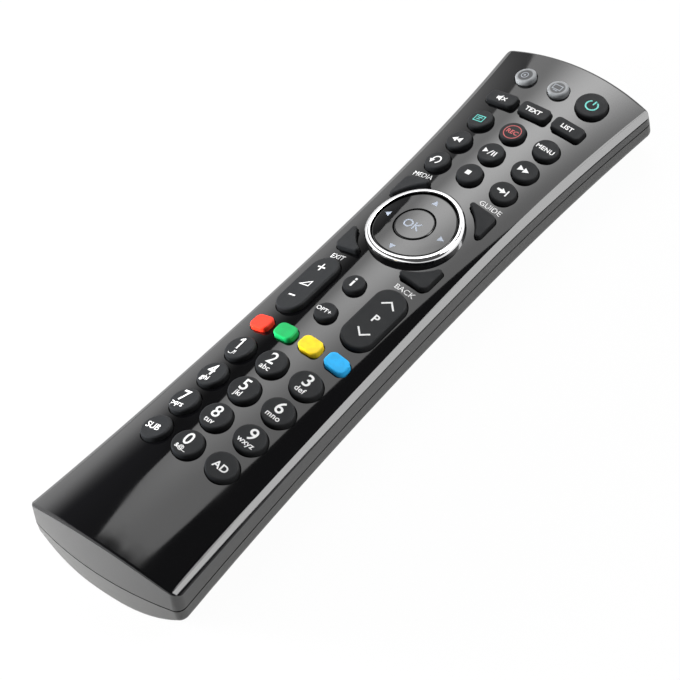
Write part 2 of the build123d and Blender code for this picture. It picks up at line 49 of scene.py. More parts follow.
mm = 0.001
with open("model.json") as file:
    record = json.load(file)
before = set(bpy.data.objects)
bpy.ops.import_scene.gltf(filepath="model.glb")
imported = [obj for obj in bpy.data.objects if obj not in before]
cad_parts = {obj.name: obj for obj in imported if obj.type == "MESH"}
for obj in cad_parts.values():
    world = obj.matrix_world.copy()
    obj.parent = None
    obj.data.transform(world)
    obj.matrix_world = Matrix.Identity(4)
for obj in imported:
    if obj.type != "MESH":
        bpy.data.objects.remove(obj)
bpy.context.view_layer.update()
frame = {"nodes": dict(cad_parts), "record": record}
nodes = frame["nodes"]
body_of = {node: body for body, group in frame["record"]["behaviour"]["bodies"].items() for node in group}
slot_of = {row["node"]: row["material_slot"] for row in frame["record"]["subparts"]}
coloured = ("red", "green", "yellow", "blue")


def middle_of(node):
    """The middle of a node's box, in millimetres."""
    low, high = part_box(node)
    return (low + high) / 2 / mm


def middles(*slots):
    """The middles of all nodes with one of these material slots."""
    return [middle_of(node) for node, slot in slot_of.items() if slot in slots]


# Sizes and colours that a user would change

def colour(name, description, value):
    """A colour that the panel shows."""
    return bpy.props.FloatVectorProperty(
        name=name, description=description, default=value, subtype="COLOR", size=3, min=0.0, max=1.0)


def length(name, description, value):
    """A length that the panel shows, in the scene's unit."""
    return bpy.props.FloatProperty(name=name, description=description, default=value, unit="LENGTH")


def share(name, description, value, top=1.0):
    """A plain number that the panel shows, from nothing to its top."""
    return bpy.props.FloatProperty(
        name=name, description=description, default=value, subtype="FACTOR", min=0.0, max=top)


class REMOTE_PG_plastics(bpy.types.PropertyGroup):
    gloss: colour("Gloss", "Polished plastic of the top", (0.0025, 0.0025, 0.003))
    gloss_roughness: share("Gloss roughness", "Polish of the top", 0.045)
    wall: colour("Wall", "Satin walls of the top shell", (0.044, 0.044, 0.044))
    satin: colour("Satin", "Moulded plastic of the underside", (0.058, 0.058, 0.057))
    satin_roughness: share("Satin roughness", "Sheen of the underside", 0.42)
    grain_size: length("Grain size", "Width of one grain in the satin plastic", 0.35 * mm)
    grain_depth: length("Grain depth", "Depth of the satin plastic's grain", 0.012 * mm)
    chrome: colour("Chrome", "Plating of the pad's ring", (0.86, 0.86, 0.87))
    window: colour("Window", "Infrared window", (0.012, 0.002, 0.004))


class REMOTE_PG_rubber(bpy.types.PropertyGroup):
    keys: colour("Keys", "Dark silicone of most keys", (0.0125, 0.0135, 0.015))
    roughness: share("Roughness", "Sheen of the silicone", 0.66)
    grain: length("Grain", "Width of one grain of the silicone's texture", 0.25 * mm)
    red: colour("Red", "Red key", (0.82, 0.036, 0.016))
    green: colour("Green", "Green key", (0.008, 0.38, 0.10))
    yellow: colour("Yellow", "Yellow key", (1.0, 0.70, 0.02))
    blue: colour("Blue", "Blue key", (0.022, 0.45, 0.92))
    frosted: colour("Frosted", "Frosted rim of the two source keys", (0.25, 0.26, 0.27))
    frosted_centre: colour("Frosted centre", "Smoked top of the two source keys", (0.035, 0.037, 0.04))


class REMOTE_PG_legends(bpy.types.PropertyGroup):
    white: colour("White ink", "Ink of most legends", (0.80, 0.80, 0.80))
    teal: colour("Teal ink", "Ink of the power and portal signs", (0.10, 0.56, 0.50))
    red: colour("Red ink", "Ink of the record sign", (0.48, 0.06, 0.06))
    pale: colour("Pale ink", "Ink on the direction pad", (0.36, 0.41, 0.50))
    grey: colour("Grey ink", "Ink on the source keys", (0.26, 0.28, 0.31))
    ink: length("Ink height", "How far the ink stands above the surface", 0.02 * mm)
    root: length("Ink root", "How far the ink reaches under the surface", 0.05 * mm)


class REMOTE_PG_inside(bpy.types.PropertyGroup):
    board: colour("Board", "Solder mask of the circuit board", (0.015, 0.11, 0.045))
    jacket: colour("Jacket", "Plain jacket of the cells", (0.05, 0.075, 0.11))
    jacket_band: colour("Jacket band", "Band at the positive end of the cells", (0.60, 0.60, 0.58))
    wire: length("Spring wire", "Thickness of the contact springs' wire", 0.6 * mm)
    turns: bpy.props.IntProperty(
        name="Spring turns", description="Turns of one contact spring", default=6, min=2, max=12)
    spring_foot: length("Spring foot", "Radius of a spring at its plate", 3.2 * mm)
    spring_tip: length("Spring tip", "Radius of a spring at its cell", 2.0 * mm)


class REMOTE_PG_studio(bpy.types.PropertyGroup):
    overhead: share("Overhead", "Brightness of the overhead card's middle", 8.3, top=20.0)
    overhead_edge: share("Overhead edge", "Brightness of the overhead card's edge", 2.5, top=20.0)
    side: share("Side", "Brightness of the card to the right of the head", 10.0, top=40.0)
    foot: share("Foot", "Power of the small lamp beside the foot, in watts", 6.5, top=200.0)
    horizon: share("Horizon", "Brightness of the room's pale lower part", 1.5, top=4.0)
    ceiling: share("Ceiling", "Brightness of the room above the lamps", 0.08, top=4.0)
    floor_shadow: share("Floor shadow", "How much of the object's shadow the white floor keeps", 0.04)
    lens: bpy.props.FloatProperty(
        name="Lens", description="Focal length of the camera", default=137.25, unit="CAMERA")


# Shader maths

class Signal:
    """A socket that can be calculated with: each operation adds its Math node."""

    def __init__(self, paint, socket):
        self.paint = paint
        self.socket = socket

    def beside(self, output):
        """Another output of the same node."""
        return Signal(self.paint, self.socket.node.outputs[output])

    def __add__(self, other):
        return self.paint.maths("ADD", self, other)

    def __radd__(self, other):
        return self.paint.maths("ADD", other, self)

    def __sub__(self, other):
        return self.paint.maths("SUBTRACT", self, other)

    def __rsub__(self, other):
        return self.paint.maths("SUBTRACT", other, self)

    def __mul__(self, other):
        return self.paint.maths("MULTIPLY", self, other)

    def __rmul__(self, other):
        return self.paint.maths("MULTIPLY", other, self)

    def __truediv__(self, other):
        return self.paint.maths("DIVIDE", self, other)

    def __rtruediv__(self, other):
        return self.paint.maths("DIVIDE", other, self)

    def __gt__(self, other):
        return self.paint.maths("GREATER_THAN", self, other)

    def __lt__(self, other):
        return self.paint.maths("LESS_THAN", self, other)


class Paint:
    """A finish in the making, with the nodes that vary it over the surface."""

    def __init__(self, name, tree=None, **shader):
        if tree is None:
            self.material = bpy.data.materials.new(name)
            self.material.use_nodes = True
            tree = self.material.node_tree
        self.tree = tree
        self.shader = tree.nodes.get("Principled BSDF")
        self.set(**shader)

    def node(self, kind, settings=None, sockets=None, output=0):
        """Adds a node, its settings first and then the values or links of its sockets."""
        made = self.tree.nodes.new("ShaderNode" + kind)
        for key, value in (settings or {}).items():
            setattr(made, key, value)
        for key, value in (sockets or {}).items():
            self.join(value, made.inputs[key])
        return Signal(self, made.outputs[output])

    def join(self, value, socket):
        """Links a signal to a socket, or gives the socket a plain value."""
        if isinstance(value, Signal):
            self.tree.links.new(value.socket, socket)
        elif socket.type == "RGBA":
            socket.default_value = (*value[:3], 1.0)
        else:
            socket.default_value = value

    def set(self, **shader):
        """Sets or links the main shader's sockets, named in lower case, and gives the paint back."""
        for key, value in shader.items():
            name = key.replace("_", " ").title().replace("Ior", "IOR")
            self.join(value, self.shader.inputs[name])
        return self

    def place(self):
        """Where the surface is, in millimetres of the part's frame."""
        metres = self.node("TexCoord", output="Object")
        return self.node("VectorMath", {"operation": "SCALE"}, {0: metres, "Scale": 1 / mm})

    def facing(self):
        """The mesh's own normal."""
        return self.node("NewGeometry", output="Normal")

    def axes(self, vector):
        """The three parts of a vector."""
        x = self.node("SeparateXYZ", sockets={0: vector})
        return x, x.beside("Y"), x.beside("Z")

    def vectors(self, operation, *values, output="Vector"):
        """A calculation on one vector or two."""
        return self.node("VectorMath", {"operation": operation}, dict(enumerate(values)), output)

    def shifted(self, vector, x, y, z):
        """A place measured from another origin."""
        return self.vectors("SUBTRACT", vector, (x, y, z))

    def distance(self, vector):
        """How long a vector is."""
        return self.vectors("LENGTH", vector, output="Value")

    def around(self, place, spots):
        """The distance from an upright line through each of the spots."""
        x, y, _ = self.axes(place)
        return [self.distance(self.node("CombineXYZ", {}, {0: x - spot.x, 1: y - spot.y})) for spot in spots]

    def noise(self, vector, width, detail=2.0, roughness=0.5):
        """Clouds of about this width, in the vector's unit."""
        return self.node("TexNoise", {}, {
            "Vector": vector, "Scale": 1.0 / width, "Detail": detail, "Roughness": roughness}, "Fac")

    def cells(self, vector, width, feature="F1"):
        """The distance from scattered points about this far apart."""
        return self.node(
            "TexVoronoi", {"feature": feature}, {"Vector": vector, "Scale": 1.0 / width}, "Distance")

    def ease(self, signal, low, high, start=0.0, stop=1.0):
        """Runs smoothly from start to stop as the signal goes from low to high."""
        return self.node("MapRange", {"interpolation_type": "SMOOTHSTEP"},
                         {0: signal, 1: low, 2: high, 3: start, 4: stop})

    def uneven(self, noise, low=0.0, high=1.0):
        """Wanders between low and high with a noise."""
        return self.ease(noise, 0.3, 0.7, low, high)

    def blend(self, factor, first, second):
        """Mixes two colours."""
        return self.node("Mix", {"data_type": "RGBA"}, {0: factor, 6: first, 7: second}, 2)

    def blend_vectors(self, factor, first, second):
        """Mixes two vectors."""
        return self.node("Mix", {"data_type": "VECTOR"}, {0: factor, 4: first, 5: second}, 1)

    def maths(self, operation, *values):
        """A calculation on one value or two."""
        return self.node("Math", {"operation": operation}, dict(enumerate(values)))

    def bump(self, height, depth, strength):
        """A bump whose full height is depth, in metres."""
        return self.node("Bump", {}, {"Height": height, "Distance": depth, "Strength": strength}, "Normal")


def added(name, data, material=None):
    """Puts a mesh, a curve, a lamp or a camera into the scene as an object."""
    if material is not None:
        data.materials.append(material)
    thing = bpy.data.objects.new(name, data)
    bpy.context.scene.collection.objects.link(thing)
    return thing


def darker(tone, factor):
    """A colour with its channels scaled."""
    return tuple(channel * factor for channel in tone)


def coat(node, paint):
    """Gives a finish to one node."""
    materials = nodes[node].data.materials
    materials.clear()
    materials.append(paint.material)


def dress(slot, paint):
    """Gives a finish to every node whose material slot it is."""
    for node, its_slot in slot_of.items():
        if its_slot == slot:
            coat(node, paint)


# Finishes

# The deck's slope and height, and the crown: its curvature at three places along the deck, per mm.
# A match is a pair of cosines between the mesh's normal and an even one, and a facing is a pair of the
# normal's upward part: the first is where the change starts, the second where it is full
deck_slope = radians(1.7)
deck_height = 23.4
parting_height = 11.3
crown_stations = ((-114.6, 1 / 66.0), (-8.9, 1 / 55.0), (114.6, 1 / 135.0))
crown_match = (0.9975, 0.9992)
wall_facing = (0.3, 0.48)

# The joint between the shells, where shade is painted: half its dark core and half its soft edge
seam_core, seam_edge = 0.16, 0.3
seam_shade_black = (0.001, 0.001, 0.001)

# The bevelled strips along both sides: the waist between them, how the sides bend away from it
# towards the foot and the head, per mm, and how far the strip leans at its inner and outer edge
waist_y = 31.0
waist_width = 48.4
foot_bend, head_bend = 1 / 1805.7, 1 / 715.1
strip_width = 1.95
strip_inner_lean, strip_outer_lean = radians(35), radians(54)
strip_outer_feather, strip_inner_feather = 0.1, 0.05
strip_match = (0.88, 0.93)

# The pale rim of the two source keys
source_rim = 1.55

# The plated ring round the pad, and how far its rounded top leans at its inner and outer edge
ring_middle_y = 30.25
ring_inner, ring_outer = 13.6, 15.5
ring_inner_lean, ring_outer_lean = radians(-30), radians(72)
ring_facing = (0.1, 0.25)


def crown_curvature():
    """The crown's curvature as a parabola along the deck: its three coefficients."""
    constant = first = second = 0.0
    for y, value in crown_stations:
        (one, _), (two, _) = [other for other in crown_stations if other[0] != y]
        weight = value / ((y - one) * (y - two))
        constant += weight * one * two
        first -= weight * (one + two)
        second += weight
    return constant, first, second


def on_deck(paint, place):
    """The surface's x, its place along the deck, and how the crown leans there across and along."""
    x, y, z = paint.axes(place)
    along = y * cos(deck_slope) - (z - deck_height) * sin(deck_slope)
    constant, first, second = crown_curvature()
    radius = 1.0 / (along * along * second + along * first + constant)
    change = along * (2 * second) + first
    depth = paint.maths("SQRT", radius * radius - x * x)
    return x, along, x / depth, (radius / depth - 1.0) * change * radius * radius


def turned(paint, across, along, upward):
    """A normal given on the deck, turned into the part's frame."""
    return paint.vectors("NORMALIZE", paint.node("CombineXYZ", {}, {
        0: across,
        1: along * cos(deck_slope) + upward * sin(deck_slope),
        2: upward * cos(deck_slope) - along * sin(deck_slope)}))


def match(paint, one, two, low, high):
    """Where two directions agree: nothing at the low cosine, all at the high one."""
    return paint.ease(paint.vectors("DOT_PRODUCT", one, two, output="Value"), low, high)


def crown_normal(paint, deck, own):
    """The crown's own normal where the surface is the crown, so that reflections run evenly in it."""
    _, _, lean_x, lean_y = deck
    even = turned(paint, lean_x, lean_y, 1.0)
    return paint.blend_vectors(match(paint, own, even, *crown_match), own, even)


def strip_normal(paint, deck, own, below):
    """The bevelled strips' even normal, laid over the one below."""
    x, along, lean_x, lean_y = deck
    past_waist = along - waist_y
    bend = (past_waist > 0.0) * (head_bend - foot_bend) + foot_bend
    spread = past_waist * bend
    inward = past_waist * spread * 0.5 + waist_width / 2 - paint.maths("ABSOLUTE", x)
    outer = 1.0 - inward / strip_width
    lean = outer * outer * outer * (strip_outer_lean - strip_inner_lean) + strip_inner_lean
    outward, upward = paint.maths("SINE", lean), paint.maths("COSINE", lean)
    slope = upward * (lean_y + paint.maths("ABSOLUTE", lean_x) * spread) - outward * spread
    even = turned(paint, outward * paint.maths("SIGN", x), slope, upward)
    on_strip = paint.ease(inward, -strip_outer_feather, 0.0) * paint.ease(
        inward, strip_width - strip_inner_feather, strip_width, 1.0, 0.0)
    return paint.blend_vectors(on_strip * match(paint, own, even, *strip_match), below, even)


def ring_normal(paint, place):
    """The normal of the plated ring's rounded top."""
    own = paint.facing()
    x, along, lean_x, lean_y = on_deck(paint, place)
    past_middle = along - ring_middle_y
    reach = paint.maths("SQRT", x * x + past_middle * past_middle)
    share_of = (reach - ring_inner) / (ring_outer - ring_inner)
    lean = share_of * (ring_outer_lean - ring_inner_lean) + ring_inner_lean
    outward, upward = paint.maths("SINE", lean), paint.maths("COSINE", lean)
    even = turned(paint, outward * x / reach + upward * lean_x,
                  outward * past_middle / reach + upward * lean_y, upward)
    return paint.blend_vectors(paint.ease(paint.axes(own)[2], *ring_facing), own, even)


def seam_shade(paint, place):
    """How much painted shade the joint between the two shells gets: full in its core, fading over its edge.
    """
    height = paint.axes(place)[2]
    return paint.ease(paint.maths("ABSOLUTE", height - parting_height), seam_core, seam_edge, 1.0, 0.0)


def polished(name, look, satin_walls=False):
    """Polished black plastic, with specks of dust on it and smudges in its shine; with satin walls, also
    painted shade in the joint between the shells.
    """
    paint = Paint(name, ior=1.5)
    place = paint.place()
    smudge = paint.noise(place, 14.0, 4.0, 0.6)
    dust = paint.ease(paint.cells(place, 1.7), 0.02, 0.06, 1.0, 0.0)
    dust = dust * (paint.noise(place, 6.0) > 0.66)
    tone = paint.blend(dust * 0.25, look.gloss, (0.10, 0.10, 0.10))
    shine = paint.ease(smudge, 0.42, 0.72, look.gloss_roughness, look.gloss_roughness + 0.03)
    if satin_walls:
        own = paint.facing()
        wall = paint.ease(paint.axes(own)[2], *wall_facing, 1.0, 0.0)
        # Painted shade in the joint between the shells: dark in colour, and metallic so that it shows no
        # reflection
        seam = seam_shade(paint, place)
        tone = paint.blend(seam, paint.blend(wall, tone, look.wall), seam_shade_black)
        shine = paint.ease(wall, 0.0, 1.0, shine, look.satin_roughness)
        deck = on_deck(paint, place)
        paint.set(
            metallic=seam,
            normal=strip_normal(paint, deck, own, crown_normal(paint, deck, own)))
    return paint.set(base_color=tone, roughness=shine)


def spark_grain(name, tone, look, seed):
    """Moulded plastic with the fine even grain of a spark-eroded tool, with painted shade in the grain's
    pits and in the joint between the shells.
    """
    paint = Paint(name, ior=1.46)
    place = paint.place()
    # Painted shade in the joint between the shells: dark in colour, and metallic so that it shows no
    # reflection
    seam = seam_shade(paint, place)
    place = paint.shifted(place, seed, seed, seed)
    sheen, grain = look.satin_roughness, look.grain_size / mm
    pits = paint.cells(place, grain, "SMOOTH_F1")
    fine = paint.noise(place, grain * 0.45, 2.0)
    broad = paint.noise(place, 22.0, 3.0)
    tone = paint.blend(paint.ease(broad, 0.35, 0.65), darker(tone, 0.93), darker(tone, 1.07))
    # Painted shade in the grain's pits: darker where the bump sinks
    tone = paint.blend(paint.ease(pits, 0.1, 0.7, 0.16, 0.0), tone, (0.02, 0.02, 0.02))
    return paint.set(
        base_color=paint.blend(seam, tone, seam_shade_black),
        metallic=seam,
        roughness=paint.ease(broad + fine * 0.5, 0.5, 1.0, sheen - 0.05, sheen + 0.06),
        normal=paint.bump(pits + fine * 0.6, look.grain_depth, 0.6))


def silicone(name, tone, look, sheen=0.0, wall_shade_factor=0.5):
    """Moulded silicone: a fine matt grain, dust in the grain, a faint bloom, and painted shade that darkens
    its walls.
    """
    paint = Paint(name, ior=1.43, specular_ior_level=0.35)
    place = paint.place()
    grain = paint.noise(place, look.grain / mm, 3.0, 0.6)
    bloom = paint.noise(place, 2.6, 4.0, 0.55)
    mottled = paint.blend(paint.ease(bloom, 0.35, 0.7), darker(tone, 0.9), darker(tone, 1.1))
    # Painted shade: the walls, which face sideways, are darker than the top
    upward = paint.axes(paint.facing())[2]
    mottled = paint.blend(paint.ease(upward, 0.45, 0.9), darker(tone, wall_shade_factor), mottled)
    specks = paint.ease(paint.cells(place, 0.9), 0.03, 0.08, 0.12, 0.0)
    dull = look.roughness - sheen
    return paint.set(
        base_color=paint.blend(specks, mottled, (0.12, 0.12, 0.12)),
        roughness=paint.uneven(bloom, dull - 0.06, dull + 0.06),
        normal=paint.bump(grain, 0.02 * mm, 0.5))


def frosted(name, look, centres, radius):
    """Frosted clear silicone: a pale wall and rim round a smoked flat top."""
    paint = Paint(name, ior=1.43)
    place = paint.place()
    top = reduce(add, [paint.ease(reach, radius - 0.35, radius + 0.1, 1.0, 0.0)
                       for reach in paint.around(place, centres)])
    smoked = top * paint.ease(paint.axes(paint.facing())[2], 0.75, 0.95)
    cloud = paint.noise(place, 1.1, 3.0)
    rim = paint.blend(paint.uneven(cloud), darker(look.frosted, 0.85), look.frosted)
    return paint.set(
        base_color=paint.blend(smoked, rim, look.frosted_centre),
        roughness=paint.uneven(cloud, 0.34, 0.46),
        normal=paint.bump(paint.noise(place, look.grain / mm, 2.0), 0.015 * mm, 0.4))


def ink(name, tone):
    """Screen-printed ink: its edge and cover a little uneven."""
    paint = Paint(name, ior=1.48)
    place = paint.place()
    cover = paint.noise(place, 0.35, 3.0, 0.6)
    return paint.set(
        base_color=paint.blend(paint.ease(cover, 0.28, 0.5), darker(tone, 0.82), tone),
        roughness=paint.uneven(cover, 0.38, 0.5),
        normal=paint.bump(cover, 0.006 * mm, 0.5))


def metal(name, tone, roughness, scratch_width, along, rounded=None):
    """Plated or drawn metal: fine scratches along one axis and clouds in its shine.

    Its scratches also stand out, unless it is given the function of its rounded form's normal.
    """
    paint = Paint(name, metallic=1.0, ior=1.5)
    place = paint.place()
    stretch = tuple(0.06 if axis == along else 1.0 for axis in "xyz")
    lines = paint.noise(paint.vectors("MULTIPLY", place, stretch), scratch_width, 3.0, 0.6)
    clouds = paint.noise(place, 3.2, 3.0)
    return paint.set(
        base_color=paint.blend(paint.uneven(clouds), darker(tone, 0.94), tone),
        roughness=paint.ease(lines + clouds * 0.4, 0.4, 0.9, roughness, roughness * 1.6 + 0.02),
        normal=rounded(paint, place) if rounded else paint.bump(lines, 0.004 * mm, 0.4))


class REMOTE_OT_shells(bpy.types.Operator):
    """Finishes the two shells, the battery cover and the infrared window"""
    bl_idname = "remote.shells"
    bl_label = "Shells"

    def execute(self, context):
        look = context.scene.remote_plastics
        dress("gloss_black", polished("polished_top", look, satin_walls=True))
        dress("satin_grey", spark_grain("satin_underside", look.satin, look, 0.0))
        dress("cover_grey", spark_grain("satin_cover", darker(look.satin, 0.96), look, 31.0))
        glass = Paint("infrared_window", ior=1.49)
        place = glass.place()
        haze = glass.noise(place, 3.0, 3.0)
        glass.set(
            base_color=glass.blend(haze, look.window, darker(look.window, 1.6)),
            roughness=glass.uneven(haze, 0.05, 0.1),
            normal=glass.bump(glass.noise(place, 5.0), 0.01 * mm, 0.3))
        dress("window", glass)
        return {"FINISHED"}


class REMOTE_OT_keys(bpy.types.Operator):
    """Finishes the rubber keys and the two rockers"""
    bl_idname = "remote.keys"
    bl_label = "Keys"

    def execute(self, context):
        look = context.scene.remote_rubber
        dress("key_rubber", silicone("dark_silicone", look.keys, look))
        dress("rocker_rubber", silicone("rocker_silicone", darker(look.keys, 1.08), look))
        # The coloured keys: a little more sheen, and less painted shade on their walls
        for tone in coloured:
            dress(tone, silicone(tone + "_silicone", getattr(look, tone), look, 0.08, 0.85))
        low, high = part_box("key_source_b")
        radius = (high.x - low.x) / 2 / mm - source_rim
        dress("key_clear", frosted("frosted_silicone", look, middles("key_clear"), radius))
        return {"FINISHED"}


class REMOTE_OT_direction_pad(bpy.types.Operator):
    """Finishes the direction pad, its centre key, the plated ring and the carrier"""
    bl_idname = "remote.direction_pad"
    bl_label = "Direction pad"

    def execute(self, context):
        look = context.scene.remote_plastics
        dress("pad_gloss", polished("polished_pad", look))
        dress("chrome", metal("bright_plating", look.chrome, 0.05, 0.5, "z", ring_normal))
        carrier = Paint("carrier_plastic", ior=1.46)
        grain = carrier.noise(carrier.place(), 0.3, 3.0)
        carrier.set(base_color=carrier.blend(grain, (0.04, 0.04, 0.04), (0.06, 0.06, 0.06)),
                    roughness=carrier.uneven(grain, 0.45, 0.6),
                    normal=carrier.bump(grain, 0.01 * mm, 0.5))
        dress("carrier", carrier)
        return {"FINISHED"}


# Printed legends: flat outlines in millimetres, as lists of corners

def bars(width, *runs):
    """Straight strokes with square ends, each run given as x, y to x, y."""
    faces = []
    for run in runs:
        start, stop = Vector(run[:2]), Vector(run[2:])
        side = (stop - start).normalized().orthogonal() * width / 2
        faces.append([start + side, start - side, stop - side, stop + side])
    return faces


def stroke(points, width, closed=False):
    """A mitred stroke through the points, one four-sided face for each run."""
    points = [Vector(point) for point in points]
    count = len(points)
    sides = []
    for index, point in enumerate(points):
        before = points[index - 1] if index or closed else None
        after = points[(index + 1) % count] if index < count - 1 or closed else None
        turn_in = (point - before).normalized() if before is not None else (after - point).normalized()
        turn_out = (after - point).normalized() if after is not None else turn_in
        across = (turn_in + turn_out).normalized().orthogonal()
        reach = width / 2 / max(across.dot(turn_in.orthogonal()), 0.3)
        sides.append((point + across * reach, point - across * reach))
    runs = range(count if closed else count - 1)
    return [[sides[i][0], sides[i][1], sides[(i + 1) % count][1], sides[(i + 1) % count][0]] for i in runs]


def arc(centre, radius, start, stop, steps=24):
    """Points along an arc, its angles in degrees from +X."""
    angles = [radians(start + (stop - start) * step / steps) for step in range(steps + 1)]
    return [(centre[0] + radius * cos(a), centre[1] + radius * sin(a)) for a in angles]


def ring(centre, radius, width):
    """A stroked circle."""
    return stroke(arc(centre, radius, 0, 360, 36)[:-1], width, closed=True)


def disc(centre, radius):
    """A filled circle."""
    return [arc(centre, radius, 0, 360, 20)[:-1]]


def triangle(tip, angle, height, width):
    """A filled triangle whose tip points along an angle in degrees."""
    along = Vector((cos(radians(angle)), sin(radians(angle))))
    foot = Vector(tip) - along * height
    side = along.orthogonal() * width / 2
    return [[Vector(tip), foot + side, foot - side]]


def shifted(faces, x, y):
    """The same outlines, moved."""
    return [[(point[0] + x, point[1] + y) for point in face] for face in faces]


# Words and digits, by their capital height; the built-in font's capitals are this share of its size
capital_share = 0.729
digit_rise, letters_drop = 1.45, -2.3
digit_height, letter_height = 4.45, 2.0
mark_share = 0.75

# The signs, about their own middles
power_sign = stroke(arc((0, 0), 1.95, 60, -240), 0.48) + bars(0.48, (0.15, 0.3, 0.35, 2.2))
mute_sign = [[(-1.7, -0.6), (-0.9, -0.6), (0.1, -1.4), (0.1, 1.4), (-0.9, 0.6), (-1.7, 0.6)]] + bars(
    0.34, (0.5, -0.75, 2.0, 0.75), (0.5, 0.75, 1.08, 0.17), (1.42, -0.17, 2.0, -0.75))
record_sign = ring((0, 0), 2.8, 0.26)
guide_sign = stroke([(-1.7, -1.2), (1.7, -1.2), (1.7, 1.2), (-1.7, 1.2)], 0.26, closed=True) + bars(
    0.28, (-1.0, 0.4, 1.0, 0.4), (-1.0, -0.35, 0.4, -0.35))
forward_sign = triangle((1.9, 0), 0, 1.85, 2.2) + triangle((0.05, 0), 0, 1.85, 2.2)
rewind_sign = triangle((-1.9, 0), 180, 1.85, 2.2) + triangle((-0.05, 0), 180, 1.85, 2.2)
play_pause_sign = triangle((-0.65, 0.0), 0, 1.7, 2.0) + bars(0.34, (-0.35, -1.1, 0.6, 1.1)) + bars(
    0.42, (1.2, -1.0, 1.2, 1.0), (2.05, -1.0, 2.05, 1.0))
replay_sign = stroke(arc((0, 0), 1.45, -75, 185), 0.46) + triangle((-1.5, -1.75), 268, 1.6, 1.9)
stop_sign = [[(-0.85, -0.85), (0.85, -0.85), (0.85, 0.85), (-0.85, 0.85)]]
skip_sign = bars(0.8, (-1.9, 0, -0.45, 0)) + triangle((1.2, 0), 0, 1.65, 2.3) + bars(
    0.46, (1.6, -1.2, 1.6, 1.2))
plus_sign = bars(0.5, (-1.5, 0, -0.25, 0), (0.25, 0, 1.5, 0), (0, -1.5, 0, 1.5))
minus_sign = bars(0.5, (-1.3, 0, 1.3, 0))
volume_wedge = stroke([(-1.75, -1.05), (1.65, -1.05), (1.65, 1.05)], 0.34, closed=True)
chevron_up = stroke([(-2.2, -1.05), (0, 1.05), (2.2, -1.05)], 0.52)
chevron_down = stroke([(-2.2, 1.05), (0, -1.05), (2.2, 1.05)], 0.52)
info_sign = bars(0.75, (0, -1.65, 0, 0.6), (0, 1.0, 0, 1.75))
recorder_sign = ring((0, 0), 1.15, 0.28) + disc((0, 0), 0.4)
screen_sign = stroke([(-1.5, -0.9), (1.5, -0.9), (1.5, 0.95), (-1.5, 0.95)], 0.3, closed=True) + bars(
    0.28, (-0.8, -1.45, 0.8, -1.45))
one_top = digit_height / 2
one_sign = bars(0.62, (0.4, -one_top, 0.4, one_top)) + [[
    (0.1, one_top), (0.1, one_top - 0.75), (-0.85, one_top - 1.25), (-0.85, one_top - 0.65)]]


def pad_arrow(angle):
    """An arrowhead that points along an angle in degrees."""
    return triangle((0.95 * cos(radians(angle)), 0.95 * sin(radians(angle))), angle, 1.9, 2.2)


# What each node carries, measured from its middle: (sign, x, y, ink), or for a word
# (word, x, y, ink, capital height, weight)
legends = {
    "key_source_a": [(recorder_sign, -0.2, 0.0, "grey")],
    "key_source_b": [(screen_sign, -0.2, 0.2, "grey")],
    "key_power": [(power_sign, 0.4, -0.1, "teal")],
    "key_mute": [(mute_sign, 0.0, -0.2, "white")],
    "key_text": [("TEXT", -0.2, -0.1, "white", 1.85, 0.06)],
    "key_list": [("LIST", -0.1, 0.0, "white", 1.8, 0.06)],
    "key_portal": [(guide_sign, -0.3, 0.1, "teal")],
    "key_record": [(record_sign, 0.2, -0.1, "red"), ("REC", 0.2, -0.1, "red", 1.75, 0.04)],
    "key_menu": [("MENU", -0.1, 0.0, "white", 1.75, 0.05)],
    "key_rewind": [(rewind_sign, -0.5, -0.1, "white")],
    "key_play_pause": [(play_pause_sign, -0.2, -0.1, "white")],
    "key_fast_forward": [(forward_sign, -0.2, 0.0, "white")],
    "key_replay": [(replay_sign, -0.2, 0.1, "white")],
    "key_stop": [(stop_sign, -0.4, 0.1, "white")],
    "key_skip": [(skip_sign, -0.1, 0.1, "white")],
    "key_info": [(info_sign, -0.3, 0.4, "white")],
    "key_options": [("OPT+", -0.5, 0.2, "white", 1.6, 0.04)],
    "key_sub": [("SUB", -0.9, 0.0, "white", 2.3, 0.02)],
    "key_ad": [("AD", 0.1, -0.3, "white", 2.6, 0.07)],
    "key_ok": [("OK", -0.3, -0.4, "pale", 3.2, 0.02)],
    "volume_rocker": [(plus_sign, -0.8, 7.4, "white"), (volume_wedge, -0.5, 0.1, "white"),
                      (minus_sign, -1.0, -6.0, "white")],
    "programme_rocker": [(chevron_up, 0.6, 6.8, "white"), ("P", 0.8, 0.3, "white", 2.95, 0.08),
                         (chevron_down, 0.8, -6.1, "white")],
    "direction_pad": [(pad_arrow(90), 0.0, 10.6, "pale"), (pad_arrow(180), -10.6, 0.0, "pale"),
                      (pad_arrow(0), 10.6, 0.0, "pale"), (pad_arrow(270), 0.0, -10.8, "pale")],
}
for column, shift in ((("1._?!", "4ghi", "7pqrs"), -1.1), (("2abc", "5jkl", "8tuv", "0&@_"), -0.5),
                      (("3def", "6mno", "9wxyz"), 0.0)):
    for digit, *letters in column:
        small = letter_height * (mark_share if digit in "01" else 1.0)
        legends["key_" + digit] = [(digit, shift, digit_rise, "white", digit_height, 0.06),
                                   ("".join(letters), shift + 0.1, letters_drop, "white", small, 0.03)]
# The digit one is a drawn sign, with its flag and no foot
legends["key_1"][0] = (one_sign, *legends["key_1"][0][1:4])

# Words on the shell beside the corner keys, measured from the pad's middle
shell_words = (("MEDIA", -13.6, 20.2), ("GUIDE", 13.1, 20.1), ("EXIT", -13.5, -20.7), ("BACK", 12.9, -20.6))
shell_word_height, shell_word_weight = 1.95, 0.01

# Corners nearer than this become one, and the surface is looked for from this height, in metres
weld_distance = 0.002 * mm
search_height = 0.1


